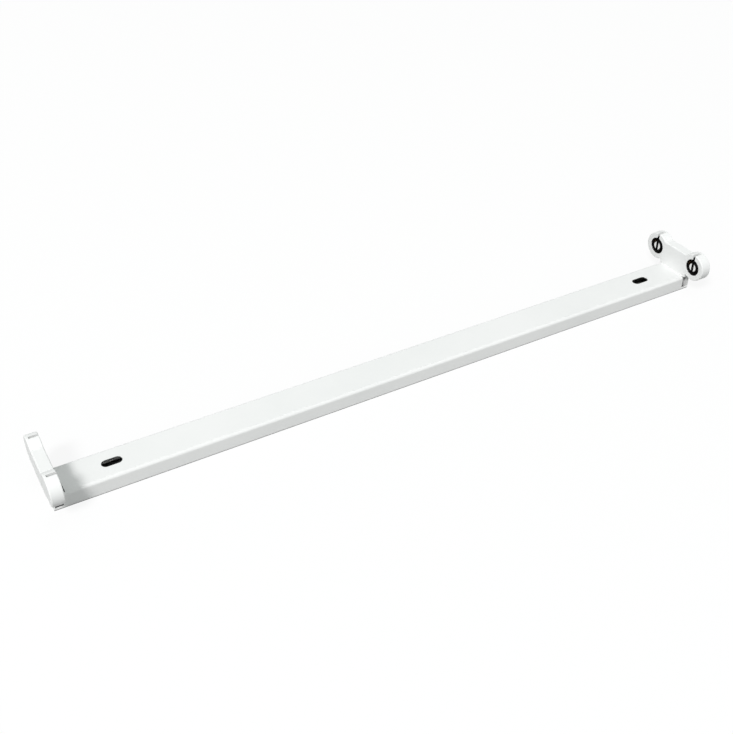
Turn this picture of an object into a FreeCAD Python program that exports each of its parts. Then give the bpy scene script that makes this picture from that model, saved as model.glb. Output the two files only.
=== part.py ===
import FreeCAD, Part
import os
import math

os.makedirs("parts", exist_ok=True)

# Millimetres. Origin at the centre of the mounting plane, X along the bracket,
# Z away from the ceiling, -Y towards the near long side.

# Driving sizes
tube_face_gap = 591.0
lamp_pitch = 47.3
lamp_rise = 14.3
lobe_radius = 12.7
saddle_rise = 8.4
holder_thickness = 9.8
channel_width = 32.6
channel_height = 13.3
foot_lap = 1.9
foot_end_gap = 2.7

# Folded channel
sheet = 0.6
bend_radius = 2.4
lip_bend_radius = 1.2
lip_depth = 4.2
mount_slot_length = 16.2
mount_slot_width = 8.0
mount_slot_inset = 39.1
mount_slot_shift = 1.8
end_notch_depth = 1.6
end_notch_inset = 1.7
lip_hole_radius = 0.95
lip_hole_inset = 2.5

# Earth tab of the channel
tab_root_start = 46.0
tab_root_length = 9.0
tab_blade_length = 6.8
tab_blade_width = 6.3
tab_top_gap = 2.8

# Holder shell
wall = 1.2
front_edge_round = 0.9
cover_edge_round = 0.9
corner_round = 2.0
notch_round = 0.7
foot_end_round = 0.5
foot_inset = 3.0
foot_rail = 1.9
cheek_length = 12.6
cheek_thickness = 1.4
cheek_drop = 2.7
cheek_chamfer = 0.7
flange_width = 3.0
flange_thickness = 1.2
peg_radius = 0.8
peg_shortfall = 0.1
boss_radius = 2.4
boss_hole_radius = 1.25
boss_pin_radius = 1.2
boss_hole_depth = 4.4
boss_pin_length = 4.0
boss_rise = 4.9
boss_drop = 5.8
collar_wall = 0.8
collar_length = 2.0
entry_slot_width = 2.8
chimney_wall = 0.9
post_width = 2.6

# Pin seat
seat_outer_radius = 8.5
seat_wall = 0.7
seat_bore_step = 0.1
seat_front_recess = 0.6
groove_depth = 7.65
seat_floor = 0.5
liner_wall = 0.6
liner_rise = 1.0
window_half_height = 2.2
window_margin = 0.25

# Rotor
hub_radius = 4.3
hub_front_recess = 0.3
hub_slot_width = 2.7
hub_edge_round = 0.35
bearing_gap = 0.05
rotor_flange_radius = 5.7
rotor_flange_thickness = 0.6
rotor_end_gap = 0.05

# Back cover
cover_thickness = 1.2
press_ring_inner = 6.3
press_ring_outer = 7.3

# Contact strip
strip = 0.4
strip_front = 3.4
strip_width = 3.7
strip_seat_gap = 0.3
arm_height = 4.0
dimple_radius = 1.6
barrel_inner = 0.5
barrel_outer = 0.95
barrel_length = 5.0

# Wires
wire_radius = 1.0
core_radius = 0.45
wire_lane_inset = 7.3
wire_bend = 8.0
earth_bend = 6.0
wire_rise_depth = 4.8
core_length_holder = 5.6
core_length_block = 6.5
strip_back_gap = 0.5
core_tip_gap = 0.2

# Terminal block
block_half_length = 9.0
block_inset = 2.8
block_top_gap = 0.1
block_flange_half_length = 4.0
block_flange_inset = 1.3
block_flange_thickness = 1.4
terminal_axis_drop = 6.8
tube_radius = 2.4
tube_bore_radius = 1.3
tube_length = 14.0
tube_fit = 0.05
entry_radius = 1.6
screw_offset = 4.0
screw_radius = 1.2
screw_fit = 0.05
screw_head_radius = 1.8
screw_head_height = 1.3
screw_head_gap = 0.3
screw_well_radius = 2.0
driver_slot_width = 0.6
driver_slot_depth = 0.6
screw_press_gap = 0.05

# Earth receptacle
receptacle_length = 7.5
receptacle_wall = 0.4
receptacle_fit = 0.05
receptacle_mouth = 3.6
crimp_wall = 0.5
crimp_length = 4.0
crimp_fit = 0.05
crimp_neck = 1.2

# Wire clips
clip_length = 6.0
clip_base = 1.2
clip_inset = 1.3
clip_post_width = 1.6
clip_post_inset = 2.9
clip_saddle_half_width = 2.0
clip_saddle_fit = 0.05
clip_spots = (85.0, 175.0)

# Cutters run past the faces they open
overrun = 5.0
find_tolerance = 0.01

X_AXIS = FreeCAD.Vector(1, 0, 0)
Y_AXIS = FreeCAD.Vector(0, 1, 0)
Z_AXIS = FreeCAD.Vector(0, 0, 1)
ORIGIN = FreeCAD.Vector(0, 0, 0)

# Stations along X, right end
inner_face = tube_face_gap / 2
channel_end = inner_face - foot_lap
mount_slot_x = channel_end - mount_slot_inset
shell_back = inner_face + holder_thickness - cover_thickness
cover_back = inner_face + holder_thickness
foot_end = cover_back - foot_end_gap
cavity_front = inner_face + wall
seat_front = inner_face + seat_front_recess
groove_floor = inner_face + groove_depth
seat_back = groove_floor + seat_floor
strip_start = inner_face + strip_front
strip_end = strip_start + strip_width
foot_cavity_end = foot_end - wall + bearing_gap
wire_rise = inner_face + wire_rise_depth

half_width = channel_width / 2
inner_half_width = half_width - sheet
inner_top = channel_height - sheet
lip_edge = half_width - lip_depth
end_notch_half_width = half_width - end_notch_inset
lip_hole_y = half_width - lip_hole_inset
wire_lane = half_width - wire_lane_inset
block_half_width = half_width - block_inset
block_flange_half_width = half_width - block_flange_inset
clip_half_width = half_width - clip_inset
clip_post_outer = half_width - clip_post_inset
lamp_side = lamp_pitch / 2
foot_half_width = half_width - foot_inset
seat_bore_radius = seat_outer_radius - seat_wall
groove_radius = seat_bore_radius + seat_bore_step
strip_radius = seat_outer_radius + strip_seat_gap
liner_top = seat_outer_radius + liner_rise

lamp_height = channel_height + lamp_rise
bend_start = channel_height - bend_radius
tab_blade_top = channel_height - tab_top_gap
tab_blade_bottom = tab_blade_top - tab_blade_width
cheek_top = channel_height - cheek_drop
saddle_height = lamp_height + saddle_rise
boss_height_low = channel_height + boss_rise
boss_height_high = lamp_height + arm_height - boss_drop
terminal_axis_height = channel_height - terminal_axis_drop
wire_height = terminal_axis_height + tube_bore_radius - core_radius


def vec(x, y, z):
    return FreeCAD.Vector(x, y, z)


def block(x0, x1, y0, y1, z0, z1):
    """Box between two opposite corners."""
    return Part.makeBox(x1 - x0, y1 - y0, z1 - z0, vec(x0, y0, z0))


def bar_x(radius, x0, x1, y, z):
    """Round bar along X."""
    return Part.makeCylinder(radius, x1 - x0, vec(x0, y, z), X_AXIS)


def bar_z(radius, x, y, z0, z1):
    """Round bar along Z."""
    return Part.makeCylinder(radius, z1 - z0, vec(x, y, z0), Z_AXIS)


def ring_x(outer, inner, x0, x1, y, z):
    """Round tube along X."""
    hole = bar_x(inner, x0 - overrun, x1 + overrun, y, z)
    return bar_x(outer, x0, x1, y, z).cut(hole)


def edges_along_x(shape, spots):
    """Edges parallel to X that pass through the given (y, z) spots."""
    found = []
    for edge in shape.Edges:
        first = edge.Vertexes[0].Point
        last = edge.Vertexes[-1].Point
        if math.hypot(first.y - last.y, first.z - last.z) > find_tolerance:
            continue
        for y, z in spots:
            if math.hypot(first.y - y, first.z - z) < find_tolerance:
                found.append(edge)
    return found


def edges_on_plane(shape, x):
    """Edges that lie in the plane at the given x."""
    found = []
    for edge in shape.Edges:
        box = edge.BoundBox
        if abs(box.XMin - x) < find_tolerance and abs(box.XMax - x) < find_tolerance:
            found.append(edge)
    return found


def turned(shape):
    """The same piece at the left end, turned half round the vertical."""
    other = shape.copy()
    other.rotate(ORIGIN, Z_AXIS, 180)
    return other


def mirrored(shape):
    """The same piece on the other long side."""
    return shape.mirror(ORIGIN, Y_AXIS)


def save(name, solids):
    """Write one sub-part, a single solid or several separate ones."""
    shape = solids[0] if len(solids) == 1 else Part.makeCompound(solids)
    shape.exportStep("parts/" + name + ".step")
    volume = sum(solid.Volume for solid in solids)
    print(name, len(solids), "solids", round(volume, 1), "mm3")


def c_section(x0, x1, inset):
    """Closed bar with the channel's section, its faces moved in by inset."""
    y = half_width - inset
    top = channel_height - inset
    body = block(x0, x1, -y, y, inset, top)
    body = body.makeFillet(bend_radius - inset, edges_along_x(body, [(-y, top), (y, top)]))
    return body.makeFillet(lip_bend_radius - inset, edges_along_x(body, [(-y, inset), (y, inset)]))


def mount_slot(x):
    """Cutter for one mounting slot in the top sheet."""
    radius = mount_slot_width / 2
    reach = (mount_slot_length - mount_slot_width) / 2
    low = inner_top - overrun
    high = channel_height + overrun
    cutter = block(x - reach, x + reach, -radius, radius, low, high)
    for end in (x - reach, x + reach):
        cutter = cutter.fuse(bar_z(radius, end, 0, low, high))
    return cutter


def peg_stations():
    """Where pegs of the feet and of the terminal block pass the lips."""
    foot = channel_end - cheek_length / 2
    return [(x, y) for x in (-foot, 0, foot) for y in (-lip_hole_y, lip_hole_y)]


def earth_tab():
    """Upright blade on the rear lip, its free end towards the terminals."""
    web_end = tab_root_start + tab_root_length
    start = tab_root_start - tab_blade_length
    web = block(tab_root_start, web_end, lip_edge - sheet, lip_edge, 0, tab_blade_top)
    blade = block(start, web_end, lip_edge - sheet, lip_edge, tab_blade_bottom, tab_blade_top)
    return web.fuse(blade)


def make_channel():
    """Folded sheet, open below between two lips, kept as a top with its bends and two sides."""
    body = c_section(-channel_end, channel_end, 0)
    body = body.cut(c_section(-channel_end - overrun, channel_end + overrun, sheet))
    reach = channel_end + overrun
    body = body.cut(block(-reach, reach, -lip_edge, lip_edge, -overrun, sheet + find_tolerance))
    for x in (-mount_slot_x, mount_slot_x):
        body = body.cut(mount_slot(x + mount_slot_shift))
    notch_end = end_notch_depth - channel_end
    y = end_notch_half_width
    body = body.cut(block(-reach, notch_end, -y, y, inner_top - overrun, channel_height + overrun))
    for x, y in peg_stations():
        body = body.cut(bar_z(lip_hole_radius, x, y, -overrun, sheet + overrun))
    body = body.fuse(earth_tab()).removeSplitter()
    crown = block(-reach, reach, -half_width, half_width, bend_start, channel_height)
    save("channel_top", body.common(crown).Solids)
    front, rear = sorted(body.cut(crown).Solids, key=lambda side: side.CenterOfMass.y)
    save("channel_front", [front])
    save("channel_rear", [rear])


def outline(x0, x1, inset):
    """Two lobes and the saddle between them, its faces moved in by inset."""
    radius = lobe_radius - inset
    y = half_width - inset
    body = block(x0, x1, -y, y, bend_start + inset, saddle_height - inset)
    body = body.fuse(block(x0, x1, -lamp_side, lamp_side, lamp_height, saddle_height - inset))
    for side in (-lamp_side, lamp_side):
        body = body.fuse(bar_x(radius, x0, x1, side, lamp_height))
    return body.removeSplitter()


def rounded_outline(x0, x1):
    """Outline with its inner corners eased."""
    body = outline(x0, x1, 0)
    drop = saddle_height - lamp_height
    saddle_y = lamp_side - math.sqrt(lobe_radius ** 2 - drop ** 2)
    rise = lamp_side - half_width
    neck_z = lamp_height - math.sqrt(lobe_radius ** 2 - rise ** 2)
    saddle = edges_along_x(body, [(-saddle_y, saddle_height), (saddle_y, saddle_height)])
    body = body.makeFillet(corner_round, saddle)
    neck = edges_along_x(body, [(-half_width, neck_z), (half_width, neck_z)])
    return body.makeFillet(notch_round, neck)


def make_foot():
    """End block with the channel's section, two cheeks inside the channel."""
    body = c_section(channel_end, foot_end, 0)
    body = body.makeFillet(foot_end_round, edges_on_plane(body, foot_end))
    y = half_width - wall
    start = channel_end - overrun
    body = body.cut(block(start, foot_cavity_end, -y, y, -overrun, channel_height - wall))
    y = foot_half_width - wall
    return body.cut(block(cavity_front, foot_cavity_end, -y, y, 0, channel_height + overrun))


def foot_window():
    """Cutter for the opening in the side of the foot above its rail, front side."""
    return block(channel_end + wall, foot_cavity_end, -half_width - overrun, -foot_half_width,
                 foot_rail, channel_height)


def make_cheek():
    """One cheek with its peg, front side."""
    y = -inner_half_width + bearing_gap
    start = channel_end - cheek_length
    end = channel_end + wall
    body = block(start, end, y, y + cheek_thickness, sheet, cheek_top)
    flange = block(start, end, y, y + flange_width, sheet, sheet + flange_thickness)
    body = body.fuse(flange).removeSplitter()
    body = body.makeChamfer(cheek_chamfer, edges_along_x(body, [(y, sheet)]))
    peg = bar_z(peg_radius, channel_end - cheek_length / 2, -lip_hole_y, peg_shortfall, sheet + peg_radius)
    return body.fuse(peg)


def lamp_bore(side):
    """Cutters for the pin groove and its entry from above."""
    half = entry_slot_width / 2
    high = lamp_height + lobe_radius + overrun
    cutter = bar_x(groove_radius, inner_face - overrun, cavity_front + overrun, side, lamp_height)
    seat = bar_x(seat_outer_radius + bearing_gap, seat_front, cavity_front, side, lamp_height)
    entry = block(inner_face - overrun, groove_floor, side - half, side + half, lamp_height, high)
    return cutter.fuse(seat).fuse(entry)


def lamp_frame(side):
    """Collar round the seat and the walls of the entry above it."""
    inner = seat_outer_radius + bearing_gap
    end = cavity_front + collar_length
    half = entry_slot_width / 2
    frame = ring_x(inner + collar_wall, inner, cavity_front - find_tolerance, end, side, lamp_height)
    gap = half + liner_wall + bearing_gap
    clear_top = lamp_height + liner_top + bearing_gap
    frame = frame.cut(block(cavity_front - overrun, end + overrun, side - gap, side + gap,
                            lamp_height, clear_top))
    outer = half + chimney_wall
    top = lamp_height + lobe_radius - wall / 2
    walls = block(cavity_front - find_tolerance, seat_back, side - outer, side + outer, clear_top, top)
    return frame.fuse(walls)


def strip_posts():
    """Posts of the front plate that the contact strip stands on."""
    z = lamp_height + arm_height + strip / 2
    half = post_width / 2
    posts = []
    for y in (-wire_lane + post_width, wire_lane - post_width):
        posts.append(block(cavity_front - find_tolerance, strip_start, y - half, y + half,
                           z - half, z + half))
    return posts


def cover_bosses():
    """Hollow bosses for the pins of the back cover."""
    bosses = []
    for z in (boss_height_low, boss_height_high):
        body = bar_x(boss_radius, cavity_front - find_tolerance, shell_back, 0, z)
        hole_start = shell_back - boss_hole_depth
        bosses.append(body.cut(bar_x(boss_hole_radius, hole_start, shell_back + overrun, 0, z)))
    return bosses


def make_holder():
    """Moulded shell: front plate, rim, neck and foot."""
    body = rounded_outline(inner_face, shell_back)
    body = body.makeFillet(front_edge_round, edges_on_plane(body, inner_face))
    y = half_width + overrun
    body = body.cut(block(foot_end, shell_back + overrun, -y, y, 0, channel_height))
    room = outline(cavity_front, shell_back + overrun, wall)
    room = room.cut(block(cavity_front - overrun, shell_back + overrun * 2, -y, y, 0, channel_height + wall))
    body = body.cut(room)
    y = foot_half_width - wall
    body = body.cut(block(cavity_front, foot_cavity_end, -y, y, 0, channel_height + overrun))
    body = body.fuse(make_foot())
    window = foot_window()
    body = body.cut(window).cut(mirrored(window))
    for side in (-lamp_side, lamp_side):
        body = body.fuse(lamp_frame(side)).cut(lamp_bore(side))
    for extra in strip_posts() + cover_bosses() + [make_cheek(), mirrored(make_cheek())]:
        body = body.fuse(extra)
    body = body.removeSplitter()
    save("holder_right", body.Solids)
    save("holder_left", turned(body).Solids)


def make_cover():
    """Back plate with pins, press rings and rotor recesses."""
    body = rounded_outline(shell_back, cover_back)
    y = half_width + overrun
    body = body.cut(block(shell_back - overrun, cover_back + overrun, -y, y, 0, channel_height))
    body = body.makeFillet(cover_edge_round, edges_on_plane(body, cover_back))
    for side in (-lamp_side, lamp_side):
        body = body.fuse(ring_x(press_ring_outer, press_ring_inner, seat_back,
                                shell_back + find_tolerance, side, lamp_height))
        recess_end = seat_back + rotor_flange_thickness + rotor_end_gap * 2
        body = body.cut(bar_x(rotor_flange_radius + bearing_gap, shell_back - overrun, recess_end,
                              side, lamp_height))
    for z in (boss_height_low, boss_height_high):
        body = body.fuse(bar_x(boss_pin_radius, shell_back - boss_pin_length,
                               shell_back + find_tolerance, 0, z))
    z = lamp_height + arm_height + strip / 2
    half = post_width / 2
    for y in (-wire_lane + post_width, wire_lane - post_width):
        body = body.fuse(block(strip_end, shell_back + find_tolerance, y - half, y + half,
                               z - half, z + half))
    body = body.removeSplitter()
    save("cover_right", body.Solids)
    save("cover_left", turned(body).Solids)


def make_seats():
    """Black cups that take the lamp pins round each rotor."""
    side = -lamp_side
    half = entry_slot_width / 2
    top = lamp_height + liner_top
    body = bar_x(seat_outer_radius, seat_front, seat_back, side, lamp_height)
    width = half + liner_wall
    body = body.fuse(block(cavity_front, seat_back, side - width, side + width, lamp_height, top))
    body = body.cut(bar_x(seat_bore_radius, seat_front - overrun, groove_floor, side, lamp_height))
    body = body.cut(block(seat_front - overrun, groove_floor, side - half, side + half,
                          lamp_height, top + overrun))
    body = body.cut(bar_x(hub_radius + bearing_gap, groove_floor - overrun, seat_back + overrun,
                          side, lamp_height))
    reach = seat_outer_radius + overrun
    low = lamp_height - window_half_height
    high = lamp_height + window_half_height
    start = strip_start - window_margin
    body = body.cut(block(start, strip_end + window_margin, side - reach, side + reach, low, high))
    body = body.removeSplitter()
    rear = mirrored(body)
    save("seat_right_front", body.Solids)
    save("seat_right_rear", rear.Solids)
    save("seat_left_rear", turned(body).Solids)
    save("seat_left_front", turned(rear).Solids)


def make_rotors():
    """Slotted hubs, the slot upright for loading."""
    side = -lamp_side
    front = inner_face + hub_front_recess
    flange_start = seat_back + rotor_end_gap
    flange_end = flange_start + rotor_flange_thickness
    body = bar_x(hub_radius, front, flange_end, side, lamp_height)
    body = body.makeFillet(hub_edge_round, edges_on_plane(body, front))
    body = body.fuse(bar_x(rotor_flange_radius, flange_start, flange_end, side, lamp_height))
    half = hub_slot_width / 2
    reach = hub_radius + overrun
    low = lamp_height - reach
    high = lamp_height + reach
    body = body.cut(block(front - overrun, groove_floor, side - half, side + half, low, high))
    body = body.removeSplitter()
    rear = mirrored(body)
    save("rotor_right_front", body.Solids)
    save("rotor_right_rear", rear.Solids)
    save("rotor_left_rear", turned(body).Solids)
    save("rotor_left_front", turned(rear).Solids)


def contact_fork(side):
    """Half ring under one seat with two arms and their inward dimples."""
    outer = strip_radius + strip
    reach = outer + overrun
    body = ring_x(outer, strip_radius, strip_start, strip_end, side, lamp_height)
    body = body.cut(block(strip_start - overrun, strip_end + overrun, side - reach, side + reach,
                          lamp_height, lamp_height + reach))
    top = lamp_height + arm_height
    for sign in (-1, 1):
        near = side + sign * strip_radius
        far = side + sign * outer
        arm = block(strip_start, strip_end, min(near, far), max(near, far), lamp_height, top)
        shell = ring_x(dimple_radius, dimple_radius - strip, strip_start, strip_end, near, lamp_height)
        outside = block(strip_start - overrun, strip_end + overrun, min(near, near + sign * reach),
                        max(near, near + sign * reach), lamp_height - reach, lamp_height + reach)
        hollow = bar_x(dimple_radius - strip, strip_start - overrun, strip_end + overrun, near, lamp_height)
        body = body.fuse(arm).cut(hollow).fuse(shell.cut(outside))
    return body


def make_contacts():
    """One strip per holder: two forks, the link between them, a wire barrel."""
    top = lamp_height + arm_height
    reach = lamp_side - strip_radius
    body = block(strip_start, strip_end, -reach, reach, top, top + strip)
    for side in (-lamp_side, lamp_side):
        body = body.fuse(contact_fork(side))
    low = top - barrel_length
    barrel = bar_z(barrel_outer, wire_rise, -wire_lane, low, top + find_tolerance)
    body = body.fuse(barrel).cut(bar_z(barrel_inner, wire_rise, -wire_lane, low - overrun, top))
    body = body.removeSplitter()
    save("contact_right", body.Solids)
    save("contact_left", turned(body).Solids)


def swept(points, bend, radius):
    """Round wire along a polyline whose corners are eased by tangent arcs."""
    edges = []
    start = points[0]
    for before, corner, after in zip(points, points[1:], points[2:]):
        into = (corner - before).normalize()
        away = (after - corner).normalize()
        half_turn = into.getAngle(away) / 2
        cut_back = bend * math.tan(half_turn)
        first = corner - into * cut_back
        last = corner + away * cut_back
        inward = (away - into).normalize()
        middle = corner + inward * (bend / math.cos(half_turn) - bend)
        edges.append(Part.makeLine(start, first))
        edges.append(Part.Arc(first, middle, last).toShape())
        start = last
    edges.append(Part.makeLine(start, points[-1]))
    path = Part.Wire(edges)
    direction = (points[1] - points[0]).normalize()
    profile = Part.Wire(Part.makeCircle(radius, points[0], direction))
    body = path.makePipeShell([profile], True, False)
    print("wire length", round(path.Length, 1), "bend radius", bend, "volume ratio",
          round(body.Volume / (math.pi * radius ** 2 * path.Length), 4))
    return body


def make_wires():
    """Line, neutral and earth wires with their bare ends."""
    block_end = block_half_length + strip_back_gap
    link = lamp_height + arm_height
    rise_end = link - core_length_holder
    lane = -wire_lane
    start = vec(block_end, lane, wire_height)
    corner = vec(wire_rise, lane, wire_height)
    right = swept([start, corner, vec(wire_rise, lane, rise_end)], wire_bend, wire_radius)
    save("wire_right", right.Solids)
    save("wire_left", turned(right).Solids)
    earth_y = lip_edge - sheet / 2
    crimp_start = tab_root_start - receptacle_length - crimp_neck - crimp_length
    lead = earth_bend
    bend_start = vec(block_end + lead, 0, wire_height)
    bend_end = vec(crimp_start - lead, earth_y, wire_height)
    points = [vec(block_end, 0, wire_height), bend_start, bend_end,
              vec(crimp_start + crimp_length, earth_y, wire_height)]
    save("wire_earth", [swept(points, earth_bend, wire_radius)])
    upright = bar_z(core_radius, wire_rise, lane, rise_end, link - core_tip_gap)
    tip = block_end - core_length_block
    level = bar_x(core_radius, tip, block_end, lane, wire_height)
    ends = [upright, level, turned(upright), turned(level)]
    ends.append(bar_x(core_radius, tip, block_end, 0, wire_height))
    crimp_end = crimp_start + crimp_length
    bare = crimp_neck - receptacle_wall - receptacle_fit * 2
    ends.append(bar_x(core_radius, crimp_end, crimp_end + bare, earth_y, wire_height))
    save("wire_ends", ends)


def make_terminal_block():
    """Three-way block between the lips and the top sheet."""
    low = sheet
    body = block(-block_half_length, block_half_length, -block_half_width, block_half_width,
                 low, inner_top - block_top_gap)
    x = block_flange_half_length
    y = block_flange_half_width
    body = body.fuse(block(-x, x, -y, y, low, low + block_flange_thickness))
    for side in (-lip_hole_y, lip_hole_y):
        body = body.fuse(bar_z(peg_radius, 0, side, peg_shortfall, low + peg_radius))
    for lane in (-wire_lane, 0, wire_lane):
        reach = block_half_length + overrun
        room = tube_length / 2 + tube_fit
        body = body.cut(bar_x(entry_radius, -reach, reach, lane, terminal_axis_height))
        body = body.cut(bar_x(tube_radius + tube_fit, -reach, room, lane, terminal_axis_height))
        for x in (-screw_offset, screw_offset):
            body = body.cut(bar_z(screw_well_radius, x, lane, low - overrun, terminal_axis_height))
    save("terminal_block", body.removeSplitter().Solids)


def make_terminal_metal():
    """Brass tubes and their clamping screws."""
    tubes = []
    screws = []
    half = tube_length / 2
    head_top = terminal_axis_height - tube_radius - screw_head_gap
    head_low = head_top - screw_head_height
    shank_top = wire_height - core_radius - screw_press_gap
    for lane in (-wire_lane, 0, wire_lane):
        tube = ring_x(tube_radius, tube_bore_radius, -half, half, lane, terminal_axis_height)
        for x in (-screw_offset, screw_offset):
            hole = bar_z(screw_radius + screw_fit, x, lane, 0, terminal_axis_height)
            tube = tube.cut(hole)
            screw = bar_z(screw_head_radius, x, lane, head_low, head_top)
            screw = screw.fuse(bar_z(screw_radius, x, lane, head_top, shank_top))
            reach = screw_head_radius + overrun
            w = driver_slot_width / 2
            slot = block(x - reach, x + reach, lane - w, lane + w, 0, head_low + driver_slot_depth)
            screws.append(screw.cut(slot).removeSplitter())
        tubes.append(tube)
    save("terminal_tubes", tubes)
    save("terminal_screws", screws)


def make_receptacle():
    """Push-on connector over the earth blade, crimped on the wire."""
    blade_y = lip_edge - sheet / 2
    blade_z = tab_blade_bottom + tab_blade_width / 2
    end = tab_root_start - receptacle_fit
    start = end - receptacle_length
    hollow_y = sheet / 2 + receptacle_fit
    hollow_z = tab_blade_width / 2 + receptacle_fit
    outer_y = hollow_y + receptacle_wall
    outer_z = hollow_z + receptacle_wall
    body = block(start, end, blade_y - outer_y, blade_y + outer_y, blade_z - outer_z, blade_z + outer_z)
    body = body.cut(block(start + receptacle_wall, end + overrun, blade_y - hollow_y, blade_y + hollow_y,
                          blade_z - hollow_z, blade_z + hollow_z))
    mouth = receptacle_mouth / 2
    body = body.cut(block(start + receptacle_wall, end + overrun, blade_y, blade_y + outer_y + overrun,
                          blade_z - mouth, blade_z + mouth))
    inner = wire_radius + crimp_fit
    crimp_start = start - crimp_neck - crimp_length
    crimp_end = crimp_start + crimp_length
    outer = inner + crimp_wall
    body = body.fuse(ring_x(outer, inner, crimp_start, crimp_end, blade_y, wire_height))
    y = blade_y - outer
    neck = block(crimp_end - crimp_length / 2, start + receptacle_wall, y, blade_y - hollow_y,
                 wire_height - crimp_neck, wire_height + crimp_neck)
    neck = neck.cut(bar_x(inner, crimp_start, start - receptacle_wall, blade_y, wire_height))
    save("earth_receptacle", body.fuse(neck).removeSplitter().Solids)


def make_clip(x):
    """Clip that stands between the lips and the top sheet."""
    half = clip_length / 2
    y = clip_half_width
    low = sheet
    base_top = low + clip_base
    body = block(x - half, x + half, -y, y, low, base_top)
    for sign in (-1, 1):
        outer = sign * clip_post_outer
        inner = sign * (clip_post_outer - clip_post_width)
        body = body.fuse(block(x - half, x + half, min(outer, inner), max(outer, inner), low, inner_top))
        lane = sign * wire_lane
        w = clip_saddle_half_width
        body = body.fuse(block(x - half, x + half, lane - w, lane + w, low, wire_height + wire_radius))
        bore = wire_radius + clip_saddle_fit
        body = body.cut(bar_x(bore, x - clip_length, x + clip_length, lane, wire_height))
        body = body.cut(block(x - clip_length, x + clip_length, lane - wire_radius, lane + wire_radius,
                              wire_height, inner_top - clip_base))
    return body.removeSplitter()


def make_clips():
    """Four alike clips."""
    save("wire_clips", [make_clip(sign * spot) for sign in (-1, 1) for spot in clip_spots])


make_channel()
make_holder()
make_cover()
make_seats()
make_rotors()
make_contacts()
make_wires()
make_terminal_block()
make_terminal_metal()
make_receptacle()
make_clips()
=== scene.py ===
import bpy
from mathutils import Matrix, Vector


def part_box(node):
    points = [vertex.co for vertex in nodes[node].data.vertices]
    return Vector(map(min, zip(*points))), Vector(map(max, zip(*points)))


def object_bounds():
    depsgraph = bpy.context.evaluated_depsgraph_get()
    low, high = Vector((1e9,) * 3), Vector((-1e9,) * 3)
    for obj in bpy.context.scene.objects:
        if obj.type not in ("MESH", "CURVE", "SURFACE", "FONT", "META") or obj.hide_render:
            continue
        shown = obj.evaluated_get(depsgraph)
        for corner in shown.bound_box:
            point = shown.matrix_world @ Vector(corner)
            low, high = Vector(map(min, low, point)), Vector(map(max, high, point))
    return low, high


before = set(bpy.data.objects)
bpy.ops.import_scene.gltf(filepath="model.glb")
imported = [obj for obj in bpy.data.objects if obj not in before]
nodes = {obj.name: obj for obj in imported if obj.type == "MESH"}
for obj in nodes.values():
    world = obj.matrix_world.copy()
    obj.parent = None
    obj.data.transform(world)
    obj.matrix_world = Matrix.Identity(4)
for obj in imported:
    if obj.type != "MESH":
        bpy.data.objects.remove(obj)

cad_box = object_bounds()

# Camera, found from the edges of the channel and the lobes in the photograph
SENSOR_SIZE = 36
FOCAL_LENGTH = 50.684
CLIP_START = 0.01
CLIP_END = 50
CAMERA_PLACE = (-0.366018, -0.596642, 0.520965)
CAMERA_RIGHT = Vector((0.87185, -0.48968, -0.00915))
CAMERA_DOWN = Vector((-0.29619, -0.51229, -0.80612))
CAMERA_FORWARD = Vector((0.39005, 0.70553, -0.59168))

# Parts of a noise's range that a finish spreads over
SHEET_BAND = (0.35, 0.65)
MOULD_BAND = (0.32, 0.68)
MIDDLE_BAND = (0.3, 0.7)
METAL_BAND = (0.3, 0.75)
SPECK_BAND = (0.70, 0.80)

# Enamel of the channel: tones as (dark, light) pairs, lengths in metres
WHITE_COAT = ((0.835, 0.842, 0.836), (0.865, 0.868, 0.862))
# Painted shade: dark grey tones on the channel's inner faces and cut edges, so the hollow inside
# looks dark through the slots
INNER_SHADE_TONES = ((0.13, 0.133, 0.13), (0.17, 0.173, 0.17))
SPECK_TINT = ((1, 1, 1), (0.93, 0.93, 0.92))
INNER_SHADE_EDGE = (-0.0012, -0.0008)
ENAMEL_ROUGHNESS = (0.38, 0.48)
ENAMEL_SPECULAR = 0.25
PEEL_DEPTH = 0.00006
SHEET_WAVE_DEPTH = 0.0004

# Moulded plastics: dark tone, light tone, roughness, grain scale, grain depth
MOULDED = {
    "white_plastic": ((0.865, 0.870, 0.865), (0.885, 0.888, 0.884), 0.44, 2200, 0.00003),
    # Near-black tones for the seats and rotors, standing in for the shade deep in the pin groove
    # and entry slots
    "black_plastic": ((0.006, 0.006, 0.006), (0.012, 0.012, 0.013), 0.55, 3000, 0.00004),
    "block_plastic": ((0.74, 0.73, 0.68), (0.80, 0.79, 0.74), 0.45, 1800, 0.00004),
    "clip_plastic": ((0.70, 0.70, 0.68), (0.77, 0.77, 0.75), 0.42, 1800, 0.00004),
}
MOULD_SPECULAR = 0.14
MOULD_WAVE_SHARE = 6

# Rotors: half-moons white up to a radius and on faces turned along the axis, both with a soft
# edge; the rest is black as painted shade of the pin groove
ROTOR_GROOVE_SHADE = MOULDED["black_plastic"][:2]
ROTOR_WHITE = ((0.83, 0.83, 0.82), (0.86, 0.86, 0.85))
ROTOR_ROUGHNESS = (0.32, 0.42)
ROTOR_GRAIN_DEPTH = 0.00003
HALF_MOON_EDGE = (0.0037, 0.0038)
FACING_EDGE = (0.80, 0.90)

# Metals: dark tone, light tone, roughness, stretch of the drawn lines
METALS = {
    "spring_bronze": ((0.42, 0.22, 0.10), (0.72, 0.45, 0.24), 0.32, (1, 0.1, 1)),
    "terminal_brass": ((0.52, 0.36, 0.14), (0.80, 0.62, 0.28), 0.30, (0.1, 1, 1)),
    "tinned_brass": ((0.50, 0.49, 0.46), (0.74, 0.73, 0.70), 0.34, (0.1, 1, 1)),
    "bare_copper": ((0.48, 0.18, 0.08), (0.86, 0.45, 0.28), 0.28, (0.1, 1, 1)),
    "screw_steel": ((0.42, 0.43, 0.44), (0.68, 0.69, 0.70), 0.28, (1, 1, 0.2)),
}
LINE_DEPTH = 0.00003

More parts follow.
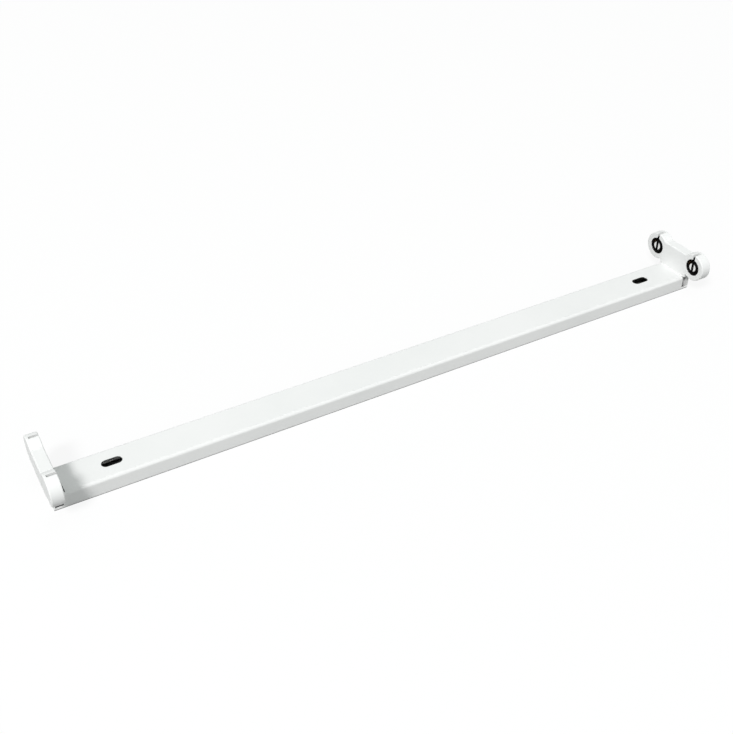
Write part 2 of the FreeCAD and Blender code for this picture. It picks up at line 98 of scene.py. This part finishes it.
# Wire insulation
WHITE_CORE = ((0.66, 0.66, 0.64), (0.74, 0.74, 0.72))
EARTH_GREEN = ((0.03, 0.22, 0.05), (0.05, 0.28, 0.07))
EARTH_YELLOW = (0.80, 0.62, 0.04)
STRIPE_EDGE = (0.62, 0.66)
STRIPE_WOBBLE = (-0.05, 0.05)
CORE_ROUGHNESS = (0.36, 0.48)
CORE_WAVE_DEPTH = 0.0001
CORE_STRETCH = (0.2, 1, 1)

# Finish of single nodes, and of all other nodes by the first word of their name
NODE_FINISH = {
    "terminal_block": "block_plastic",
    "terminal_tubes": "terminal_brass",
    "terminal_screws": "screw_steel",
    "earth_receptacle": "tinned_brass",
    "wire_ends": "bare_copper",
    "wire_clips": "clip_plastic",
    "wire_earth": "earth_insulation",
}
KIND_FINISH = {
    "channel": "white_enamel",
    "holder": "white_plastic",
    "cover": "white_plastic",
    "rotor": "rotor_plastic",
    # the seats' near black is painted shade of the deep pin groove
    "seat": "black_plastic",
    "contact": "spring_bronze",
    "wire": "white_insulation",
}

# Floor: half sizes in metres, then share of plain white, tone in bounced light, tone as seen
FLOOR_REACH = 6.0
SHADOW_PATCH_END = 0.3024
SHADOW_PATCH_SIDE = 0.0158
FLOOR_GAP = 0.0001
OPEN_FLOOR = (0.86, 0.26, 0.93)
# Painted shadow: the floor face under the part has no plain white and a dark tone, standing in
# for the shadow beneath it and along its bottom edges
PAINTED_SHADOW_FLOOR = (0.0, 0.12, 0.12)
SHADOW_PATCH_FACE = 4

# Light: name, place, side and power of each lamp; the sky is plain white where it is seen
LAMPS = (("key", (-4.7, -3.7, 6.4), 1.8, 502), ("fill", (0.6, -6.0, 2.0), 3.0, 28))
LAMP_TINT = (1.0, 0.99, 0.992)
SKY_STRENGTH = 0.56
SKY_TINT = (0.955, 1.0, 0.985, 1)
PLAIN_WHITE = (1, 1, 1, 1)

ACROSS = (0, 1, 1)


# ---------- camera ----------
def make_camera():
    """The photograph's view."""
    data = bpy.data.cameras.new("camera")
    data.sensor_fit = "VERTICAL"
    data.sensor_width = SENSOR_SIZE
    data.sensor_height = SENSOR_SIZE
    data.lens = FOCAL_LENGTH
    data.clip_start = CLIP_START
    data.clip_end = CLIP_END
    camera = bpy.data.objects.new("camera", data)
    turn = Matrix((CAMERA_RIGHT, -CAMERA_DOWN, -CAMERA_FORWARD)).transposed().to_4x4()
    camera.matrix_world = Matrix.Translation(CAMERA_PLACE) @ turn
    bpy.context.scene.collection.objects.link(camera)
    bpy.context.scene.camera = camera


# ---------- material helpers ----------
def colour_sockets(sockets):
    """Colour sockets of a mix node, which names its sockets alike for each type."""
    return [socket for socket in sockets if socket.type == "RGBA"]


class Nodes:
    """Adds shader nodes to one material with short calls."""

    def __init__(self, name):
        self.material = bpy.data.materials.new(name)
        self.material.use_nodes = True
        self.tree = self.material.node_tree
        self.shader = self.tree.nodes["Principled BSDF"]
        coordinates = self.add("ShaderNodeTexCoord")
        self.place = coordinates.outputs["Object"]
        self.normal = coordinates.outputs["Normal"]

    def add(self, kind, **settings):
        node = self.tree.nodes.new(kind)
        for key, value in settings.items():
            setattr(node, key, value)
        return node

    def link(self, source, target):
        self.tree.links.new(source, target)

    def feed(self, key, source):
        """Links a source to the surface shader."""
        self.link(source, self.shader.inputs[key])

    def set(self, key, value):
        self.shader.inputs[key].default_value = value

    def noise(self, scale, detail=3.0, rough=0.55, stretch=None):
        node = self.add("ShaderNodeTexNoise")
        node.inputs["Scale"].default_value = scale
        node.inputs["Detail"].default_value = detail
        node.inputs["Roughness"].default_value = rough
        source = self.place
        if stretch:
            mapping = self.add("ShaderNodeMapping")
            mapping.inputs["Scale"].default_value = stretch
            self.link(self.place, mapping.inputs["Vector"])
            source = mapping.outputs["Vector"]
        self.link(source, node.inputs["Vector"])
        return node.outputs["Fac"]

    def ramp(self, source, band, first, last):
        node = self.add("ShaderNodeValToRGB")
        for stop, position, tone in zip(node.color_ramp.elements, band, (first, last)):
            stop.position = position
            stop.color = (*tone, 1)
        self.link(source, node.inputs["Fac"])
        return node.outputs["Color"]

    def spread(self, source, band, out):
        node = self.add("ShaderNodeMapRange")
        for key, value in zip(("From Min", "From Max", "To Min", "To Max"), (*band, *out)):
            node.inputs[key].default_value = value
        self.link(source, node.inputs["Value"])
        return node.outputs["Result"]

    def bump(self, height, strength, distance, below=None):
        node = self.add("ShaderNodeBump")
        node.inputs["Strength"].default_value = strength
        node.inputs["Distance"].default_value = distance
        self.link(height, node.inputs["Height"])
        if below:
            self.link(below, node.inputs["Normal"])
        return node.outputs["Normal"]

    def mix(self, factor, first, second, **settings):
        """Colour mix; the factor is a number or an output, so is each colour."""
        node = self.add("ShaderNodeMix", data_type="RGBA", **settings)
        sockets = [node.inputs["Factor"]] + colour_sockets(node.inputs)
        for socket, value in zip(sockets, (factor, first, second)):
            if isinstance(value, tuple):
                socket.default_value = (*value, 1)
            elif isinstance(value, float):
                socket.default_value = value
            else:
                self.link(value, socket)
        return colour_sockets(node.outputs)[0]

    def combine(self, operation, first, second=None):
        """Maths on one or two outputs."""
        node = self.add("ShaderNodeMath", operation=operation)
        self.link(first, node.inputs[0])
        if second:
            self.link(second, node.inputs[1])
        return node.outputs["Value"]

    def vector(self, operation, first, second=None, result="Vector"):
        """Vector maths; the second vector is fixed or an output."""
        node = self.add("ShaderNodeVectorMath", operation=operation)
        self.link(first, node.inputs[0])
        if isinstance(second, tuple):
            node.inputs[1].default_value = second
        elif second:
            self.link(second, node.inputs[1])
        return node.outputs[result]

    def part_of(self, vector, axis):
        """Size of one component of a vector, without its sign."""
        split = self.add("ShaderNodeSeparateXYZ")
        self.link(vector, split.inputs["Vector"])
        return self.combine("ABSOLUTE", split.outputs[axis])


# ---------- materials ----------
def enamel():
    """White stoved enamel, with a dark grey painted shade on the inner faces and cut edges of
    the channel.
    """
    n = Nodes("white_enamel")
    section_middle = (cad_box[0][2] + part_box("channel_top")[1][2]) / 2
    outward = n.vector("SUBTRACT", n.vector("MULTIPLY", n.place, ACROSS), (0, 0, section_middle))
    facing = n.vector("DOT_PRODUCT", outward, n.normal, "Value")
    # Painted shade: faces turned towards the middle of the section get the dark grey tone
    inner = n.spread(facing, INNER_SHADE_EDGE, (1, 0))
    inner_shade = n.ramp(n.noise(30, 4), SHEET_BAND, *INNER_SHADE_TONES)
    cloud = n.ramp(n.noise(14, 4), SHEET_BAND, *WHITE_COAT)
    speck = n.ramp(n.noise(2600, 2), SPECK_BAND, *SPECK_TINT)
    white = n.mix(1.0, cloud, speck, blend_type="MULTIPLY")
    n.feed("Base Color", n.mix(inner, white, inner_shade))
    n.feed("Roughness", n.spread(n.noise(60, 3), MIDDLE_BAND, ENAMEL_ROUGHNESS))
    peel = n.bump(n.noise(420, 2, 0.4), 0.25, PEEL_DEPTH)
    n.feed("Normal", n.bump(n.noise(30, 2), 0.15, SHEET_WAVE_DEPTH, peel))
    n.set("Specular IOR Level", ENAMEL_SPECULAR)
    return n.material


def moulded(name, dark, light, rough, grain, depth):
    """Injection-moulded plastic: flow clouding and a fine spark-eroded grain."""
    n = Nodes(name)
    n.feed("Base Color", n.ramp(n.noise(70, 4), MOULD_BAND, dark, light))
    n.feed("Roughness", n.spread(n.noise(240, 3), MIDDLE_BAND, (rough - 0.05, rough + 0.06)))
    fine = n.bump(n.noise(grain, 3, 0.6), 0.3, depth)
    n.feed("Normal", n.bump(n.noise(110, 1), 0.12, depth * MOULD_WAVE_SHARE, fine))
    n.set("Specular IOR Level", MOULD_SPECULAR)
    return n.material


def hub():
    """Rotor whose two front half-moons are white up to a rim; the rim and the sides are black,
    painted shade of the deep pin groove.
    """
    n = Nodes("rotor_plastic")
    low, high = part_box("rotor_right_rear")
    axis = (0, (low[1] + high[1]) / 2, (low[2] + high[2]) / 2)
    from_axis = n.vector("SUBTRACT", n.vector("ABSOLUTE", n.place), axis)
    radius = n.vector("LENGTH", n.vector("MULTIPLY", from_axis, ACROSS), result="Value")
    within = n.spread(radius, HALF_MOON_EDGE, (1, 0))
    # Painted shade: faces not turned along the axis, and the front outside the half-moon radius,
    # stay black
    facing = n.spread(n.part_of(n.normal, "X"), FACING_EDGE, (0, 1))
    half_moons = n.combine("MULTIPLY", facing, within)
    pale = n.ramp(n.noise(70, 4), MOULD_BAND, *ROTOR_WHITE)
    black = n.ramp(n.noise(70, 4), MOULD_BAND, *ROTOR_GROOVE_SHADE)
    n.feed("Base Color", n.mix(half_moons, black, pale))
    n.feed("Roughness", n.spread(n.noise(240, 3), MIDDLE_BAND, ROTOR_ROUGHNESS))
    n.feed("Normal", n.bump(n.noise(2600, 3, 0.6), 0.3, ROTOR_GRAIN_DEPTH))
    return n.material


def metal(name, dark, light, rough, stretch):
    """Rolled or drawn metal: lengthwise scratches and a little tarnish."""
    n = Nodes(name)
    n.feed("Base Color", n.ramp(n.noise(350, 5, 0.65), METAL_BAND, light, dark))
    lines = n.noise(900, 3, 0.6, stretch)
    n.feed("Roughness", n.spread(lines, MIDDLE_BAND, (rough - 0.08, rough + 0.10)))
    n.feed("Normal", n.bump(lines, 0.35, LINE_DEPTH))
    n.set("Metallic", 1.0)
    return n.material


def insulation():
    """White extruded PVC: slight lengthwise waviness."""
    n = Nodes("white_insulation")
    n.feed("Base Color", n.ramp(n.noise(160, 3), MIDDLE_BAND, *WHITE_CORE))
    n.feed("Roughness", n.spread(n.noise(500, 2), MIDDLE_BAND, CORE_ROUGHNESS))
    n.feed("Normal", n.bump(n.noise(300, 2, 0.5, CORE_STRETCH), 0.25, CORE_WAVE_DEPTH))
    return n.material


def earth_insulation():
    """Green PVC with a yellow stripe along its top and bottom."""
    n = Nodes("earth_insulation")
    wobble = n.spread(n.noise(300, 2), MIDDLE_BAND, STRIPE_WOBBLE)
    height = n.combine("ADD", n.part_of(n.normal, "Z"), wobble)
    green = n.ramp(n.noise(160, 3), MIDDLE_BAND, *EARTH_GREEN)
    stripe = n.spread(height, STRIPE_EDGE, (0, 1))
    n.feed("Base Color", n.mix(stripe, green, EARTH_YELLOW))
    n.feed("Roughness", n.spread(n.noise(500, 2), MIDDLE_BAND, CORE_ROUGHNESS))
    n.feed("Normal", n.bump(n.noise(300, 2), 0.2, CORE_WAVE_DEPTH))
    return n.material


def dress():
    """Gives every CAD node its finish."""
    finishes = {name: moulded(name, *values) for name, values in MOULDED.items()}
    finishes.update({name: metal(name, *values) for name, values in METALS.items()})
    finishes["white_enamel"] = enamel()
    finishes["rotor_plastic"] = hub()
    finishes["white_insulation"] = insulation()
    finishes["earth_insulation"] = earth_insulation()
    for name, node in nodes.items():
        finish = NODE_FINISH.get(name) or KIND_FINISH[name.split("_")[0]]
        for slot in node.material_slots:
            slot.material = finishes[finish]


# ---------- stage ----------
def seen_rays(tree):
    """One for rays that show a surface directly, in a gloss or through glass."""
    path = tree.nodes.new("ShaderNodeLightPath")
    seen = path.outputs["Is Camera Ray"]
    for kind in ("Is Glossy Ray", "Is Transmission Ray"):
        either = tree.nodes.new("ShaderNodeMath")
        either.operation = "MAXIMUM"
        tree.links.new(seen, either.inputs[0])
        tree.links.new(path.outputs[kind], either.inputs[1])
        seen = either.outputs[0]
    return seen


def floor_material(name, white_share, bounced_tone, seen_tone):
    """Floor with one tone for bounced light and one as seen, partly plain white."""
    material = bpy.data.materials.new(name)
    material.use_nodes = True
    tree = material.node_tree
    tree.nodes.clear()
    seen = seen_rays(tree)
    white = tree.nodes.new("ShaderNodeMath")
    white.operation = "MULTIPLY"
    white.inputs[1].default_value = white_share
    tree.links.new(seen, white.inputs[0])
    tone = tree.nodes.new("ShaderNodeMapRange")
    tone.inputs["To Min"].default_value = bounced_tone
    tone.inputs["To Max"].default_value = seen_tone
    tree.links.new(seen, tone.inputs["Value"])
    diffuse = tree.nodes.new("ShaderNodeBsdfDiffuse")
    tree.links.new(tone.outputs["Result"], diffuse.inputs["Color"])
    glow = tree.nodes.new("ShaderNodeEmission")
    mix = tree.nodes.new("ShaderNodeMixShader")
    tree.links.new(white.outputs[0], mix.inputs[0])
    tree.links.new(diffuse.outputs[0], mix.inputs[1])
    tree.links.new(glow.outputs[0], mix.inputs[2])
    out = tree.nodes.new("ShaderNodeOutputMaterial")
    tree.links.new(mix.outputs[0], out.inputs["Surface"])
    return material


def make_floor():
    """Plain pale floor of nine faces; the middle one, where the part stands, is dark as painted
    shadow of the part and its contact line.
    """
    columns = (-FLOOR_REACH, -SHADOW_PATCH_END, SHADOW_PATCH_END, FLOOR_REACH)
    rows = (-FLOOR_REACH, -SHADOW_PATCH_SIDE, SHADOW_PATCH_SIDE, FLOOR_REACH)
    points = [(x, y, 0) for y in rows for x in columns]
    across = len(columns)
    corners = [across * j + i for j in range(len(rows) - 1) for i in range(across - 1)]
    faces = [(c, c + 1, c + 1 + across, c + across) for c in corners]
    mesh = bpy.data.meshes.new("floor")
    mesh.from_pydata(points, [], faces)
    mesh.materials.append(floor_material("floor", *OPEN_FLOOR))
    mesh.materials.append(floor_material("floor_painted_shadow", *PAINTED_SHADOW_FLOOR))
    mesh.polygons[SHADOW_PATCH_FACE].material_index = 1
    floor = bpy.data.objects.new("floor", mesh)
    floor.location.z = cad_box[0][2] - FLOOR_GAP
    bpy.context.scene.collection.objects.link(floor)


def add_lamp(name, place, size, power):
    """Square area lamp that looks at the origin."""
    data = bpy.data.lights.new(name, "AREA")
    data.shape = "SQUARE"
    data.size = size
    data.color = LAMP_TINT
    data.energy = power
    lamp = bpy.data.objects.new(name, data)
    lamp.location = place
    lamp.rotation_euler = lamp.location.to_track_quat("Z", "Y").to_euler()
    bpy.context.scene.collection.objects.link(lamp)


def make_light():
    """Soft key from the upper left in front, weak fill from the front and an even sky."""
    world = bpy.data.worlds.new("world")
    bpy.context.scene.world = world
    world.use_nodes = True
    tree = world.node_tree
    sky = tree.nodes["Background"]
    seen = seen_rays(tree)
    strength = tree.nodes.new("ShaderNodeMapRange")
    strength.inputs["To Min"].default_value = SKY_STRENGTH
    strength.inputs["To Max"].default_value = 1.0
    tree.links.new(seen, strength.inputs["Value"])
    tree.links.new(strength.outputs["Result"], sky.inputs["Strength"])
    tint = tree.nodes.new("ShaderNodeMix")
    tint.data_type = "RGBA"
    for socket, colour in zip(colour_sockets(tint.inputs), (SKY_TINT, PLAIN_WHITE)):
        socket.default_value = colour
    tree.links.new(seen, tint.inputs["Factor"])
    tree.links.new(colour_sockets(tint.outputs)[0], sky.inputs["Color"])
    for lamp in LAMPS:
        add_lamp(*lamp)


make_camera()
dress()
make_floor()
make_light()
bpy.context.scene.view_settings.view_transform = "Standard"
